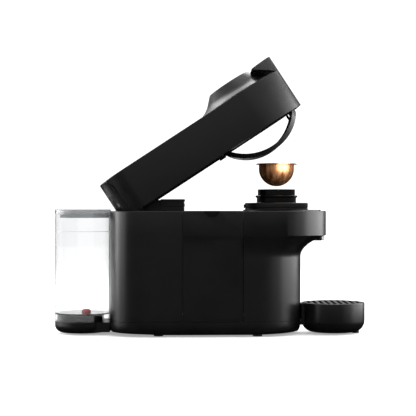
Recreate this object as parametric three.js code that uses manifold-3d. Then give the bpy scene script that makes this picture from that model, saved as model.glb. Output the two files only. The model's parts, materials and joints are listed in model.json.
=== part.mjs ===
// Pod coffee machine, millimetres, +X front (coffee outlet), +Z up.
// The origin is the middle of the footprint, on the surface that it stands on.
// The head is hinged at the rear and is modelled here in its open place.

import * as THREE from 'three';
import { mergeVertices } from 'three/addons/utils/BufferGeometryUtils.js';
import Module from 'manifold-3d';

const wasm = await Module();
wasm.setup();

// ---------------------------------------------------------------- dimensions

const GAP = 0.3; // between pieces that touch on the real machine
const WALL = 2.6; // moulded shells

const BREW_X = 91.7; // upright axis of the pod holder
const DECK_Z = 168; // top edge of the housing
const BODY = {
  rear: -135.5, half: 68, rearRadius: 40, toeX: 60.5, toeHalf: 64.2, base: 20, toeTop: 105, lip: 135,
};
const SEAM = { rear: -36, front: 44.6 }; // upright seams either side of the used-pod bin
const FOOT = { radius: 6.4, height: 2.6, x: [-69, 64], y: 45 };

const HEAD = { rear: -132.5, half: 65.2, noseX: 93.5, rearRadius: 40, floor: 168.8, top: 225.5 };
const HINGE = { x: -101.1, z: 185.2, open: THREE.MathUtils.degToRad(33.15) };
const CROWN = { x: 90.8, radius: 30.5, top: 248, bore: 27.6 };
const LEVER = { stripX: 154.8, visorX: 124.5, browX: 153, tipTop: 244, tipEdge: 1.2, wall: 2.5 };
const HOOP = { inner: 53.3, outer: 56.3, arcInner: 63, arcOuter: 69, arcZ: 206, top: 174.2 };
const HOOP_PIVOT = { x: 30.5, z: 170.3 };

const TANK = {
  x: -174.8, halfX: 38.3, halfY: 41.5, wall: 1.6, skirt: 17.6, floor: 28.8, rim: 164.2, lidTop: 170,
};
const CRADLE = { bottom: 2, round: 10, top: 17.3 };
const VALVE_X = -170.1;
const TRAY = { x: 169.6, radius: 43.5, bottom: 2, top: 42.4, round: 16, wall: 2.4 };
const GRID = { radius: 40.6, rim: 2.6, pitch: 8.4, slot: 3.9, thickness: 3.2 };

// The pod hangs above its seat while the head is open, and comes down as the head closes.
const POD = { rimRadius: 28.5, domeRadius: 24.15, depth: 30, seat: 197.9, lift: 34, rim: 0.7, wall: 0.6 };
const HOLDER = { cup: 25.6, cupTop: 197.6, flange: 28.8, flangeZ: 186.6, barrel: 27, barrelZ: 166 };
const COLLAR = { outer: 43.3, inner: 29, base: 168.3, top: 179.2 };
const TROUGH = { inner: 47, outer: 60, floor: 135.9, wall: 2.5, base: 1.5 };

// ---------------------------------------------------------------- materials

const finish = (color, roughness, metalness = 0, extra = {}) =>
  new THREE.MeshStandardMaterial({ color, roughness, metalness, ...extra });
const BLACK = finish(0x151515, 0.5);
const DARK = finish(0x0e0e0e, 0.6);
const GLOSS = finish(0x0b0b0b, 0.15);
const GREY = finish(0x3a3c3e, 0.5);
const STEEL = finish(0xb9bcc0, 0.3, 1);
const ALLOY = finish(0x9ea2a6, 0.45, 1);
const COPPER = finish(0xb4642d, 0.3, 1);
const RUBBER = finish(0x1b1b1b, 0.9);
const CLEAR = finish(0xdfe6ea, 0.1, 0, { transparent: true, opacity: 0.35 });
const RED = finish(0xc4201c, 0.4);
const SATIN = finish(0x333436, 0.65);
const BOARD = finish(0x1e5a36, 0.6);

// ---------------------------------------------------------------- solids

// A closed geometry as a solid that can be joined and cut, turned outward if it isn't already.
function solid(geometry) {
  const bare = geometry.clone();
  bare.deleteAttribute('normal');
  bare.deleteAttribute('uv');
  const merged = mergeVertices(bare, 1e-4);
  const points = merged.attributes.position.array;
  const faces = Uint32Array.from(merged.index.array);
  if (signedVolume(points, faces) < 0) faces.reverse();
  return new wasm.Manifold(
    new wasm.Mesh({ numProp: 3, vertProperties: Float32Array.from(points), triVerts: faces }),
  );
}

function signedVolume(points, faces) {
  const corner = (i) => new THREE.Vector3().fromArray(points, 3 * i);
  let volume = 0;
  for (let i = 0; i < faces.length; i += 3) {
    volume += corner(faces[i]).dot(corner(faces[i + 1]).cross(corner(faces[i + 2])));
  }
  return volume;
}

function geometryOf(shape) {
  const mesh = shape.getMesh();
  const geometry = new THREE.BufferGeometry();
  geometry.setAttribute('position', new THREE.BufferAttribute(Float32Array.from(mesh.vertProperties), 3));
  geometry.setIndex(new THREE.BufferAttribute(Uint32Array.from(mesh.triVerts), 1));
  return geometry;
}

const join = (...shapes) => shapes.reduce((a, b) => a.add(b));
const cut = (shape, ...tools) => tools.reduce((a, b) => a.subtract(b), shape);
const common = (a, b) => a.intersect(b);

function box(x0, x1, y0, y1, z0, z1) {
  const geometry = new THREE.BoxGeometry(x1 - x0, y1 - y0, z1 - z0);
  return solid(geometry.translate((x0 + x1) / 2, (y0 + y1) / 2, (z0 + z1) / 2));
}

// A half space inside a working cube larger than the machine.
const FAR = 400;
const aheadOf = (x) => box(x, FAR, -FAR, FAR, -FAR, FAR);
const behind = (x) => box(-FAR, x, -FAR, FAR, -FAR, FAR);
const below = (z) => box(-FAR, FAR, -FAR, FAR, -FAR, z);

function post(x, y, radius, z0, z1, sides = 32, topRadius = radius) {
  const geometry = new THREE.CylinderGeometry(topRadius, radius, z1 - z0, sides);
  return solid(geometry.rotateX(Math.PI / 2).translate(x, y, (z0 + z1) / 2));
}

const ring = (x, y, inner, outer, z0, z1, sides = 32) =>
  cut(post(x, y, outer, z0, z1, sides), post(x, y, inner, z0 - 1, z1 + 1, sides));

function rodAlongY(x, z, radius, y0, y1, sides = 16) {
  return solid(new THREE.CylinderGeometry(radius, radius, y1 - y0, sides).translate(x, (y0 + y1) / 2, z));
}

function rodAlongX(y, z, radius, x0, x1, sides = 12) {
  const geometry = new THREE.CylinderGeometry(radius, radius, x1 - x0, sides);
  return solid(geometry.rotateZ(Math.PI / 2).translate((x0 + x1) / 2, y, z));
}

// A plan outline raised between two heights.
function upright(shape, z0, z1, curveSegments = 7) {
  const geometry = new THREE.ExtrudeGeometry(shape, { depth: z1 - z0, bevelEnabled: false, curveSegments });
  return solid(geometry.translate(0, 0, z0));
}

// A side outline, drawn in X and Z, taken across from y0 to y1.
function across(shape, y0, y1, curveSegments = 12) {
  const geometry = new THREE.ExtrudeGeometry(shape, { depth: y1 - y0, bevelEnabled: false, curveSegments });
  return solid(geometry.rotateX(Math.PI / 2).translate(0, y1, 0));
}

// A closed profile of [radius, height] points turned about an upright axis.
function turned(x, y, profile, sides = 32) {
  const points = profile.map(([r, z]) => new THREE.Vector2(r, z));
  return solid(new THREE.LatheGeometry(points, sides).rotateX(Math.PI / 2).translate(x, y, 0));
}

// Plan outlines at several heights skinned into one body. Every outline has the same point count.
function stack(levels) {
  const count = levels[0].outline.length;
  const positions = levels.flatMap(({ z, outline }) => outline.flatMap((p) => [p.x, p.y, z]));
  const faces = [];
  for (let level = 0; level < levels.length - 1; level += 1) {
    for (let i = 0; i < count; i += 1) {
      const a = level * count + i;
      const b = level * count + ((i + 1) % count);
      faces.push(a, b, b + count, a, b + count, a + count);
    }
  }
  const last = (levels.length - 1) * count;
  for (const [a, b, c] of THREE.ShapeUtils.triangulateShape(levels[0].outline, [])) {
    faces.push(a, c, b, last + a, last + b, last + c);
  }
  const geometry = new THREE.BufferGeometry();
  geometry.setAttribute('position', new THREE.Float32BufferAttribute(positions, 3));
  geometry.setIndex(faces);
  return solid(geometry);
}

function hose(points, radius, steps = 14) {
  const path = new THREE.CatmullRomCurve3(points.map((p) => new THREE.Vector3(...p)));
  const section = new THREE.Shape().absarc(0, 0, radius, 0, 2 * Math.PI, false);
  const geometry = new THREE.ExtrudeGeometry(section, { extrudePath: path, steps, curveSegments: 4 });
  return solid(geometry);
}

function ellipse(x, halfX, halfY) {
  return new THREE.Shape().absellipse(x, 0, halfX, halfY, 0, 2 * Math.PI, false, 0);
}

// ---------------------------------------------------------------- scene graph

const machine = new THREE.Group();

function place(parent, name, shape, material) {
  const mesh = new THREE.Mesh(geometryOf(shape), material);
  mesh.name = name;
  parent.add(mesh);
}

// ---------------------------------------------------------------- housing

// Plan of the housing: lip is 0 at its toe and 1 at the overhanging lip around the brew axis.
function bodyPlan(lip, inset) {
  const nose = THREE.MathUtils.lerp(BODY.toeHalf, BODY.half, lip) - inset;
  const noseX = THREE.MathUtils.lerp(BODY.toeX, BREW_X, lip);
  const cornerX = BODY.rear + BODY.rearRadius;
  const cornerY = BODY.half - BODY.rearRadius;
  const corner = BODY.rearRadius - inset;
  const plan = new THREE.Shape();
  plan.absarc(noseX, 0, nose, -Math.PI / 2, Math.PI / 2, false);
  plan.lineTo(SEAM.rear, BODY.half - inset);
  plan.absarc(cornerX, cornerY, corner, Math.PI / 2, Math.PI, false);
  plan.absarc(cornerX, -cornerY, corner, Math.PI, 1.5 * Math.PI, false);
  plan.lineTo(SEAM.rear, inset - BODY.half);
  return plan;
}

const bodyOutline = (lip, inset) => bodyPlan(lip, inset).getPoints(7);

// How far the front has swept out from the toe to the lip at a height.
function lipAt(z) {
  const rise = THREE.MathUtils.clamp((z - BODY.toeTop) / (BODY.lip - BODY.toeTop), 0, 1);
  return rise ** 2.2;
}

function bodySolid(z0, z1, inset) {
  const between = [BODY.toeTop, 114, 122, 129, BODY.lip].filter((z) => z > z0 && z < z1);
  return stack([z0, ...between, z1].map((z) => ({ z, outline: bodyOutline(lipAt(z), inset) })));
}

const bodySkin = cut(bodySolid(BODY.base + GAP, DECK_Z, 0), bodySolid(BODY.base - 2, DECK_Z + 2, WALL));
const SPOUT = { x0: 136.2, x1: 152.5, x2: 156.9, half: 14, z0: 127.6, z1: 134 };
const CORD = { y: 47, z: 32, radius: 7 };

// Everything above the underside, which is flat between the feet and rises a little to both ends.
function aboveUnderside(lift) {
  const low = FOOT.height + lift;
  const rear = 5.4 + lift;
  const front = 4.6 + lift;
  const side = new THREE.Shape();
  side.moveTo(BODY.rear - 1, rear);
  side.quadraticCurveTo(-100, 4.6 + lift, -60, low);
  side.lineTo(50, low);
  side.quadraticCurveTo(90, 3.6 + lift, BODY.toeX + BODY.toeHalf + 1, front);
  side.lineTo(FAR / 2, front);
  side.lineTo(FAR / 2, FAR);
  side.lineTo(-FAR / 2, FAR);
  side.lineTo(-FAR / 2, rear);
  return across(side, -FAR, FAR, 7);
}

const PAN_FLOOR = 3; // thickness of the pan's floor

function basePan() {
  const edge = [
    [FOOT.height, 8],
    [4.5, 4],
    [8, 1.8],
    [13, 0.5],
    [BODY.base, 0],
  ];
  const outer = stack(edge.map(([z, inset]) => ({ z, outline: bodyOutline(0, inset) })));
  const inside = upright(bodyPlan(0, 11), FOOT.height, BODY.base + 1);
  const tonguePocket = box(108, 130, -16.5, 16.5, 12, 18.7);
  const bridgePocket = box(-140, -120, -30.3, 30.3, 11.7, 17.3);
  return cut(
    common(outer, aboveUnderside(0)),
    common(inside, aboveUnderside(PAN_FLOOR)),
    tonguePocket,
    bridgePocket,
  );
}

function housing() {
  place(machine, 'base_pan', basePan(), BLACK);
  const cordHole = rodAlongX(CORD.y, CORD.z, CORD.radius + GAP, -140, -110);
  const rearRing = cut(
    upright(bodyPlan(1, 0), BODY.base + GAP, DECK_Z),
    upright(bodyPlan(1, WALL), BODY.base - 2, DECK_Z + 2),
  );
  const rear = cut(common(rearRing, behind(SEAM.rear - GAP)), cordHole);
  place(machine, 'rear_housing', rear, BLACK);
  const farPanel = common(bodySkin, box(SEAM.rear + GAP, SEAM.front - GAP, 0, FAR, 0, FAR));
  place(machine, 'far_side_panel', farPanel, BLACK);
  const spoutHole = box(
    SPOUT.x0 - 12, SPOUT.x2 + 6, -SPOUT.half - GAP, SPOUT.half + GAP, SPOUT.z0 - 6, SPOUT.z1 + GAP,
  );
  place(machine, 'front_housing', cut(common(bodySkin, aheadOf(SEAM.front + GAP)), spoutHole), BLACK);
  for (const x of FOOT.x) {
    for (const y of [-FOOT.y, FOOT.y]) {
      const name = `foot_${x < 0 ? 'rear' : 'front'}_${y < 0 ? 'near' : 'far'}`;
      place(machine, name, post(x, y, FOOT.radius, 0, FOOT.height - GAP, 16), RUBBER);
    }
  }
  place(machine, 'cord_inlet', cordInlet(), DARK);
}

// A gland in the rear corner where the mains lead comes in, with an open bore.
function cordInlet() {
  const gland = rodAlongX(CORD.y, CORD.z, CORD.radius, -133, -112);
  const flange = rodAlongX(CORD.y, CORD.z, CORD.radius + 3, -116, -112);
  return cut(join(gland, flange), rodAlongX(CORD.y, CORD.z, 3.6, -140, -110));
}

// ---------------------------------------------------------------- rear deck and hinge

const WELL = { floor: 150.5, front: -84 }; // room for the head's rear corner when it is open
const KNUCKLE = { inner: 26, outer: 38, radius: 9, pin: 4 };
const SPRING_BOX = { tail: -90, rear: -84, x0: -66.5, x1: -35.5, half: 32, z0: 168, z1: 184 };

function rearDeck() {
  const inside = (z0, z1) => upright(bodyPlan(1, WALL + GAP), z0, z1);
  const wellFloor = common(inside(WELL.floor - 2.5, WELL.floor), behind(WELL.front));
  const stepRoom = box(WELL.front - 2.5, WELL.front, -FAR, FAR, 0, FAR);
  const step = common(inside(WELL.floor - 2.5, DECK_Z - GAP), stepRoom);
  const shelfRoom = box(WELL.front, SEAM.rear - GAP, -FAR, FAR, 0, FAR);
  const shelf = common(inside(DECK_Z - 2.8, DECK_Z - GAP), shelfRoom);
  return join(wellFloor, step, shelf);
}

function hingeBracket(side) {
  const foot = new THREE.Shape();
  foot.moveTo(HINGE.x - 13, WELL.floor + GAP);
  foot.lineTo(HINGE.x + 13, WELL.floor + GAP);
  foot.lineTo(HINGE.x + KNUCKLE.radius, HINGE.z);
  foot.absarc(HINGE.x, HINGE.z, KNUCKLE.radius, 0, Math.PI, false);
  foot.closePath();
  const y = [side * KNUCKLE.inner, side * KNUCKLE.outer].sort((a, b) => a - b);
  return cut(across(foot, y[0], y[1]), rodAlongY(HINGE.x, HINGE.z, KNUCKLE.pin + GAP, -60, 60));
}

function springBox() {
  const { tail, rear, x0, x1, half, z0, z1 } = SPRING_BOX;
  const lower = join(
    box(x0, x1, -half, half, z0, z1 - 2.8),
    box(rear, x0 + 1, 3 - half, half - 3, z0, z1 - 1),
    box(tail, rear + 1, 6.5 - half, half - 6.5, z0, z1 - 1),
  );
  const lid = box(x0, x1 + 0.8, -half - 0.8, half + 0.8, z1 - 2.8, z1);
  const hollow = box(rear + 2.5, x1 - 2.5, -half + 5.5, half - 5.5, z0 - 1, z1 - 3.5);
  return cut(join(lower, lid), hollow);
}

// ---------------------------------------------------------------- brew unit in the housing

// Deck around the pod holder, with the ring trough that the ejector hoop drops into.
function brewDeck() {
  const plate = upright(bodyPlan(1, WALL + GAP), DECK_Z - 4.5, DECK_Z - 2);
  const { inner, outer, floor, wall, base } = TROUGH;
  const channel = ring(BREW_X, 0, inner - wall, outer + wall, floor - base, DECK_Z - 2);
  const rim = common(
    ring(BREW_X, 0, outer + 0.2, outer + 1.6, DECK_Z - 2.5, DECK_Z + 1.6),
    behind(LEVER.stripX - WALL - 0.8), // room for the closed head's front wall
  );
  const trough = ring(BREW_X, 0, inner, outer, floor, DECK_Z + 5);
  const well = post(BREW_X, 0, inner - wall, 100, DECK_Z + 5);
  const deck = cut(join(plate, channel, rim), trough, well);
  return common(deck, aheadOf(SEAM.front + WALL));
}

// Bowl that catches the coffee thrown out by the spinning pod.
function brewBowl() {
  const outer = TROUGH.inner - 2.5 - GAP;
  const profile = [
    [9, 118], [33, 118], [outer, 129], [outer, 159.6], [outer - 2.4, 159.6], [outer - 2.4, 130.5],
    [32, 121], [9, 121], [9, 118],
  ];
  const outlet = rodAlongX(0, 131, 2.4, BREW_X + 30, BREW_X + 60);
  return cut(turned(BREW_X, 0, profile), outlet);
}

function collarBase() {
  const outer = TROUGH.inner - 2.5 - GAP;
  return ring(BREW_X, 0, COLLAR.inner + 1, outer, 160, DECK_Z);
}

function lockRing() {
  const { outer, inner, base, top } = COLLAR;
  const profile = [
    [inner, base], [outer, base], [outer, top - 1.5], [outer - 1.5, top], [inner, top], [inner, base],
  ];
  const lug = box(BREW_X - 44.9, BREW_X - 36, -5, 5, 172, 177);
  return join(turned(BREW_X, 0, profile), lug);
}

// Dome of the pod: straight at the rim, then a round bottom.
function domeProfile(radius, depth, top) {
  const straight = 6;
  const points = [[radius, top], [radius, top - straight]];
  for (let i = 1; i <= 5; i += 1) {
    const a = (i / 5) * (Math.PI / 2);
    points.push([radius * Math.cos(a), top - straight - (depth - straight) * Math.sin(a)]);
  }
  points[points.length - 1][0] = 0;
  return points;
}

function podHolder() {
  const { cup, cupTop, flange, flangeZ, barrel, barrelZ } = HOLDER;
  const seat = domeProfile(POD.domeRadius + 0.35, POD.depth + 0.3, cupTop);
  const outside = [
    [0, barrelZ - 8], [9, barrelZ - 8], [14, barrelZ - 3], [barrel, barrelZ], [barrel, flangeZ],
    [flange, flangeZ + 0.6], [flange, flangeZ + 2.4], [cup, flangeZ + 3], [cup, cupTop],
  ];
  return turned(BREW_X, 0, [...outside, ...seat], 24);
}

function podCup() {
  const under = POD.seat + POD.lift;
  const top = under + POD.rim;
  const outer = domeProfile(POD.domeRadius, POD.depth, under);
  const inner = domeProfile(POD.domeRadius - POD.wall, POD.depth - POD.wall, top);
  const rim = [[POD.rimRadius, under], [POD.rimRadius, top]];
  return turned(BREW_X, 0, [...outer.reverse(), ...rim, ...inner], 24);
}

const MOTOR = { radius: 25, bottom: 58, top: 111 };

function motorMount() {
  const plate = ring(BREW_X, 0, 9, 30, MOTOR.bottom - 4, MOTOR.bottom - GAP, 20);
  const legs = [[-22, -18], [-22, 18], [6, -24], [6, 24]].map(([dx, dy]) =>
    post(BREW_X + dx, dy, 4, FOOT.height, MOTOR.bottom - 3, 8));
  return join(plate, common(join(...legs), aboveUnderside(PAN_FLOOR + GAP)));
}

function brewUnit() {
  place(machine, 'brew_deck', brewDeck(), BLACK);
  place(machine, 'brew_bowl', brewBowl(), DARK);
  place(machine, 'collar_base', collarBase(), BLACK);
  place(machine, 'lock_ring', lockRing(), BLACK);
  place(machine, 'pod_holder', podHolder(), GLOSS);
  const shaft = post(BREW_X, 0, 3, MOTOR.top + GAP, HOLDER.barrelZ - 8 - GAP, 12);
  place(machine, 'motor_shaft', shaft, STEEL);
  place(machine, 'shaft_bearing', ring(BREW_X, 0, 3.4, 8.7, 117, 124, 16), STEEL);
  place(machine, 'motor', post(BREW_X, 0, MOTOR.radius, MOTOR.bottom, MOTOR.top, 20), STEEL);
  place(machine, 'motor_mount', motorMount(), DARK);
  place(machine, 'pod_cup', podCup(), COPPER);
  const foilBase = POD.seat + POD.lift + POD.rim + GAP;
  place(machine, 'pod_foil', post(BREW_X, 0, POD.rimRadius - 1.6, foilBase, foilBase + 0.4, 24), ALLOY);
}

// Coffee outlet under the lip: a block with a channel, and a glossy clear nose.
function spout() {
  const { x0, x1, x2, half, z0, z1 } = SPOUT;
  const channel = join(rodAlongX(0, 131, 2.4, x0 - 2, x1 - 4), post(x1 - 5, 0, 2.4, z0 - 2, 131, 16));
  place(machine, 'spout', cut(box(x0, x1, -half, half, z0, z1), channel), BLACK);
  place(machine, 'spout_nose', box(x1 + GAP, x2, -half, half, z0, z1), CLEAR);
}

// ---------------------------------------------------------------- water and power

function internals() {
  const pump = join(rodAlongX(0, 60, 17, -110, -68, 20), rodAlongX(0, 60, 8, -117, -58, 16));
  place(machine, 'pump', pump, STEEL);
  for (const [name, x] of [['pump_mount_rear', -113.2], ['pump_mount_front', -64.8]]) {
    const upstand = common(box(x - 2.7, x + 2.7, -20, 20, 0, 72), aboveUnderside(PAN_FLOOR + GAP));
    place(machine, name, cut(upstand, rodAlongX(0, 60, 8 + GAP, x - 5, x + 5, 16)), RUBBER);
  }
  const heater = box(-108, -66, -22, 22, 92, 132);
  const ports = join(rodAlongX(-10, 112, 4, -66, -58), rodAlongX(10, 112, 4, -66, -58));
  place(machine, 'heater_block', join(heater, ports), ALLOY);
  const heaterStand = cut(box(-104, -70, -26, 26, 80, 91.7), box(-110, -60, -20, 20, 78, 90));
  place(machine, 'heater_stand', heaterStand, DARK);
  place(machine, 'control_board', box(-105, -45, 52, 54, 40, 120), BOARD);
  const route = [
    [-57.6, 0, 60], [-52, 0, 60], [-46.5, 0, 67], [-44, -3, 88],
    [-46, -8, 106], [-51, -10, 112], [-57.6, -10, 112],
  ];
  place(machine, 'pump_hose', hose(route, 3.2), DARK);
}

// ---------------------------------------------------------------- tank and its cradle

function cradle() {
  const { bottom, round, top } = CRADLE;
  const levels = [bottom, bottom + 1, bottom + 3, bottom + 6, bottom + round, top].map((z) => {
    const inset = round - Math.sqrt(round ** 2 - Math.max(0, bottom + round - z) ** 2);
    return { z, outline: ellipse(TANK.x, TANK.halfX - inset, TANK.halfY - inset).getPoints(18) };
  });
  const boss = common(upright(ellipse(TANK.x, 35.6, 38.8), 16, 26.3, 16), behind(-146.8));
  const bridge = join(box(-160, BODY.rear - GAP, -34, 34, 4, top), box(-140, -121, -30, 30, 12, 17));
  const seat = post(VALVE_X, 0, 7.5, 20, 30, 24);
  return cut(join(stack(levels), boss, bridge), seat);
}

function tank() {
  const { x, halfX, halfY, wall, skirt, floor, rim } = TANK;
  const outer = upright(ellipse(x, halfX, halfY), skirt, rim, 18);
  const water = upright(ellipse(x, halfX - wall, halfY - wall), floor, rim + 1, 18);
  const under = upright(ellipse(x, halfX - wall, halfY - wall), skirt - 1, floor - 2, 18);
  place(machine, 'tank_shell', cut(outer, water, under, post(VALVE_X, 0, 3.6, 20, 40, 20)), CLEAR);
  const plate = upright(ellipse(x, halfX, halfY), rim + GAP, TANK.lidTop, 18);
  const plug = upright(ellipse(x + 2, halfX - wall - 3, halfY - wall - 0.6), rim - 5.6, rim + 1, 18);
  place(machine, 'tank_lid', join(plate, plug), GREY);
  const dome = turned(VALVE_X, 0, [
    [0, floor - 7], [2.2, floor - 7], [2.2, floor + GAP], [6.5, floor + GAP], [6.5, floor + 1.6],
    [5, floor + 3.6], [2.4, floor + 4.5], [0, floor + 4.7],
  ], 12);
  place(machine, 'tank_valve', dome, RED);
}

// ---------------------------------------------------------------- cup support

function cupSupport() {
  const { x, radius, bottom, top, round, wall } = TRAY;
  const curve = [];
  for (let i = 0; i <= 4; i += 1) {
    const a = (i / 4) * (Math.PI / 2);
    curve.push([radius - round + round * Math.sin(a), bottom + round - round * Math.cos(a)]);
  }
  const bowl = turned(x, 0, [
    [0, bottom], ...curve, [radius, top], [radius - wall, top], [radius - wall, 36], [radius - 6, 34],
    [radius - 6, 14], [radius - 14, 6], [0, 6],
  ]);
  const tongue = join(box(112, 132, -16, 16, 12.4, 18.3), box(125.2, 134, -16, 16, 12.4, 41));
  const foot = post(x + 31, 0, 5, 0.3, 4, 16);
  return join(bowl, cut(tongue, post(x, 0, radius - 8, 0, 36), post(x, 0, radius - wall, 35, 50)), foot);
}

function dripGrid() {
  const { radius, rim, pitch, slot, thickness } = GRID;
  const top = TRAY.top;
  let plate = post(TRAY.x, 0, radius, top - thickness, top);
  const window = post(TRAY.x, 0, radius - rim, top - 10, top + 10);
  for (let i = -4; i <= 4; i += 1) {
    const x = TRAY.x + i * pitch;
    const opening = box(x - slot / 2, x + slot / 2, -50, 50, top - 9, top + 9);
    plate = cut(plate, common(window, opening));
  }
  return plate;
}

// ---------------------------------------------------------------- used-pod bin

const BIN = { x0: -33, x1: 41.5, far: 58, floor: 24, top: 158, wall: 2.2 };

// A drawer whose front is the near side panel, with a finger scoop at its top edge.
function podBin() {
  const { x0, x1, far, floor, top, wall } = BIN;
  const near = -BODY.half + 4;
  const panel = common(bodySkin, box(SEAM.rear + GAP, SEAM.front - GAP, -FAR, 0, 0, FAR));
  const scoop = rodAlongY(3, DECK_Z + 1, 10.5, -FAR / 2, -60, 32);
  const tray = cut(
    box(x0, x1, near, far, floor, top),
    box(x0 + wall, x1 - wall, near + wall, far - wall, floor + wall, top + 1),
  );
  return cut(join(panel, box(x0, x1, near - 3.2, near + 1, floor, top)), scoop).add(tray);
}

// ---------------------------------------------------------------- head

const head = new THREE.Group();
head.position.set(HINGE.x, 0, HINGE.z);
head.rotation.y = -HINGE.open;
machine.add(head);

// Head pieces are drawn closed, in machine coordinates, and hang on the hinge.
function onHead(name, shape, material) {
  place(head, name, shape.translate([-HINGE.x, 0, -HINGE.z]), material);
}

function headPlan(inset) {
  const cornerX = HEAD.rear + HEAD.rearRadius;
  const cornerY = HEAD.half - HEAD.rearRadius;
  const plan = new THREE.Shape();
  plan.absarc(HEAD.noseX, 0, HEAD.half - inset, -Math.PI / 2, Math.PI / 2, false);
  plan.absarc(cornerX, cornerY, HEAD.rearRadius - inset, Math.PI / 2, Math.PI, false);
  plan.absarc(cornerX, -cornerY, HEAD.rearRadius - inset, Math.PI, 1.5 * Math.PI, false);
  return plan;
}

// The rear cover meets the shell along an upright line that leans back near the top.
function rearCut(shift) {
  const side = new THREE.Shape();
  side.moveTo(-150, 150);
  side.lineTo(-115 + shift, 150);
  side.lineTo(-115 + shift, 205);
  side.quadraticCurveTo(-115.9 + shift, 216.75, -122 + shift, HEAD.top);
  side.lineTo(-132.1 + shift, 240);
  side.lineTo(-150, 240);
  return across(side, -FAR, FAR, 6);
}

function headShells() {
  const { floor, top } = HEAD;
  const shell = cut(
    upright(headPlan(0), floor, top),
    upright(headPlan(WALL), floor - 1, top - WALL),
    aheadOf(LEVER.stripX - GAP),
  );
  const frontWall = common(
    upright(headPlan(WALL / 2), floor, top - 1),
    box(LEVER.stripX - GAP - WALL, LEVER.stripX - GAP, -FAR, FAR, 0, FAR),
  );
  const buttonHole = post(CROWN.x, 0, CROWN.bore - 4, 200, 240);
  const whole = cut(join(shell, frontWall), buttonHole);
  onHead('head_shell', cut(whole, rearCut(GAP)), BLACK);
  onHead('head_rear_cover', common(whole, rearCut(-GAP)), BLACK);
}

// The lever from the side: a brow over the crown's front and a strip down the nose of the head.
function leverSide(gap) {
  const { stripX, visorX, browX, tipTop, tipEdge } = LEVER;
  const nose = HEAD.noseX + HEAD.half + 1;
  const side = new THREE.Shape();
  side.moveTo(visorX - gap, tipTop + gap);
  side.lineTo(nose, CROWN.top + gap);
  side.lineTo(nose, HEAD.floor + GAP);
  side.lineTo(stripX, HEAD.floor + GAP);
  side.lineTo(stripX, HEAD.top + GAP);
  side.lineTo(browX - gap, HEAD.top + GAP);
  side.lineTo(visorX - gap, tipTop - tipEdge - gap);
  side.closePath();
  return across(side, -FAR, FAR);
}

// Cone on top of the head that runs out in a hollow skirt, with a bore for the button.
function crown() {
  const { x, radius, top, bore } = CROWN;
  const base = HEAD.top + GAP;
  const profile = [
    [64.8, base], [64.8, base + 0.5], [57, 228.3], [48.3, 232], [42, 236.4], [radius, top], [bore, top],
    [bore, 238], [4, 238], [4, 235.5], [38, 235.5], [46, 230], [55.5, 226.6], [58, base], [64.8, base],
  ];
  return cut(common(turned(x, 0, profile, 40), upright(headPlan(0), base - 1, top + 1)), leverSide(GAP));
}

function lever() {
  const { visorX, tipTop, wall } = LEVER;
  const nose = HEAD.noseX + HEAD.half + 1;
  const whole = common(upright(headPlan(0), HEAD.floor + GAP, CROWN.top, 10), leverSide(0));
  const under = new THREE.Shape();
  under.moveTo(visorX, HEAD.top - 5);
  under.lineTo(nose, HEAD.top - 5);
  under.lineTo(nose, CROWN.top - wall);
  under.lineTo(visorX, tipTop - wall);
  under.closePath();
  const room = upright(headPlan(wall), HEAD.top - 6, CROWN.top, 10);
  return cut(whole, common(room, across(under, -FAR, FAR)));
}

function headFloor() {
  const plate = common(
    upright(headPlan(WALL + GAP), 174.5, 177),
    box(-30, LEVER.stripX - GAP - WALL - GAP, -FAR, FAR, 0, FAR),
  );
  return cut(plate, post(BREW_X, 0, 49, 160, 190));
}

// Bell that closes over the pod holder, with a bearing hole at its top for the clamp.
function brewBell() {
  return turned(BREW_X, 0, [
    [46.5, 170.2], [48.7, 170.2], [48.7, 184], [35.5, 184], [35.5, 214], [6.6, 214],
    [6.6, 211.5], [33, 211.5], [33, 181.5], [46.5, 181.5], [46.5, 170.2],
  ]);
}

function clamp() {
  onHead('clamp_disc', turned(BREW_X, 0, [
    [2, 202.2], [28, 202.2], [28, 205.5], [6, 207], [6, 218], [2, 218], [2, 202.2],
  ]), DARK);
  onHead('clamp_gasket', ring(BREW_X, 0, 24.4, 28, 200, 201.9), RUBBER);
  onHead('needle', post(BREW_X, 0, 0.5, 200, 216, 12, 1.5), STEEL);
}

// Saddle-shaped ejector hoop, round in plan and bowed down at its sides, with a rear knuckle.
function hoop() {
  const band = cut(
    rodAlongY(BREW_X, HOOP.arcZ, HOOP.arcOuter, -60, 60, 56),
    rodAlongY(BREW_X, HOOP.arcZ, HOOP.arcInner, -61, 61, 56),
  );
  const wall = ring(BREW_X, 0, HOOP.inner, HOOP.outer, 120, HOOP.top, 40);
  const knuckle = box(HOOP_PIVOT.x - 3, 41, -6, 6, 166.5, 173.2);
  const whole = join(common(common(wall, band), below(HOOP.top)), knuckle);
  return cut(whole, rodAlongY(HOOP_PIVOT.x, HOOP_PIVOT.z, 1.8, -20, 20, 16));
}

function hoopBracket() {
  const { x } = HOOP_PIVOT;
  const block = box(x - 6.4, x + 3.2, -10, 10, 165.2, 174.2);
  const slot = box(x - 3.9, 45, -6.4, 6.4, 160, 180);
  const pinHole = rodAlongY(x, HOOP_PIVOT.z, 1.8, -20, 20, 16);
  return cut(block, slot, pinHole);
}

// Hook inside the hoop that drops into the ring trough when the head is closed.
function latchHook(side) {
  const y = [side * 22.5, side * 24.5].sort((a, b) => a - b);
  return box(BREW_X + 43.6, BREW_X + 46.6, y[0], y[1], 159, 174.2);
}

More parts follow.
